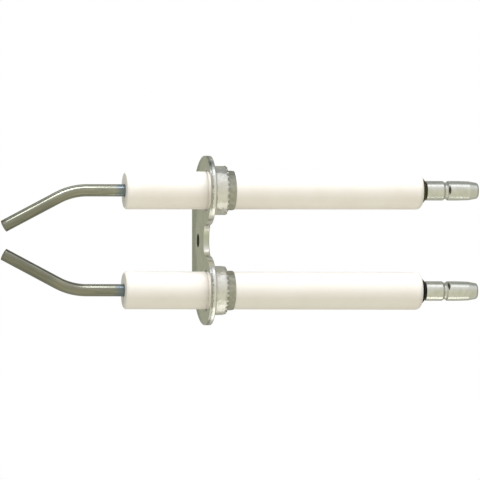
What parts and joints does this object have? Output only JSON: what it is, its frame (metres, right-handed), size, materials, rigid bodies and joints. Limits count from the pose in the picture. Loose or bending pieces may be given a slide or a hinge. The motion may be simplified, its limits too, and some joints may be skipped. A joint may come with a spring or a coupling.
{
  "type": "ignition electrode",
  "caption": "Burner ignition electrode: bent steel rods through ceramic tubes, side by side in a pressed sheet bracket, with round plug pins behind.",
  "frame": {"origin": "centre of the bracket's fixing hole, on the plate's front face, the one turned to the spark tips", "axes": "+X from the spark tips to the plug pins, along the ceramic tubes; +Z from the lower electrode to the upper one; +Y from the bracket's notch to its straight far edge"},
  "size_m": [0.0992, 0.0205, 0.0346],
  "materials": {
    "bracket_steel": "satin",
    "rod_steel": "satin",
    "ceramic": "matte",
    "sleeve_steel": "satin",
    "washer_steel": "satin",
    "pin_steel": "satin"
  },
  "bodies": {
    "root": {"bracket": "bracket_steel", "electrode_rod_upper": "rod_steel", "electrode_rod_lower": "rod_steel", "insulator_upper": "ceramic", "insulator_lower": "ceramic", "clamp_sleeve_upper": "sleeve_steel", "clamp_sleeve_lower": "sleeve_steel", "spring_washer_upper": "washer_steel", "spring_washer_lower": "washer_steel", "terminal_pin_upper": "pin_steel", "terminal_pin_lower": "pin_steel"}
  },
  "joints": []
}
